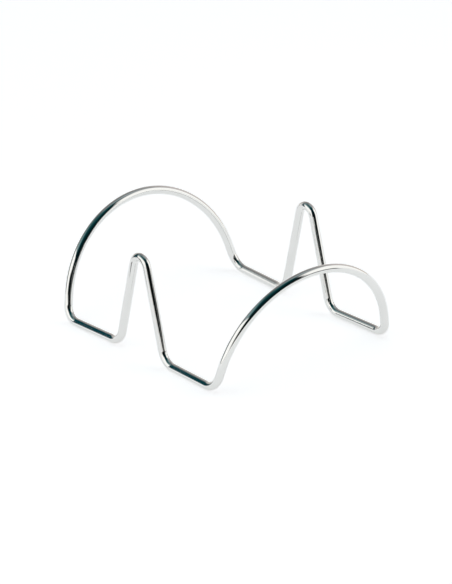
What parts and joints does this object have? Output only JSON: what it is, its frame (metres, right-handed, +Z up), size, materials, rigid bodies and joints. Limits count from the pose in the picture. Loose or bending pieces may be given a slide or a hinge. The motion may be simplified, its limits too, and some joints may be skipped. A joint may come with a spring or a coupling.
{
  "type": "taco holder",
  "caption": "Bright round wire bent into a closed loop: leaning arches at the ends and narrow peaks between them make pockets that hold filled tacos upright.",
  "frame": {"origin": "on the table plane, under the middle of the holder", "axes": "+X from the left arch to the right arch, +Y from the front peak to the back peak, +Z up"},
  "size_m": [0.1328, 0.1034, 0.051],
  "materials": {
    "bright_chrome": "mirror bright plating on smooth drawn wire"
  },
  "bodies": {
    "root": {"wire_frame": "bright_chrome"}
  },
  "joints": []
}
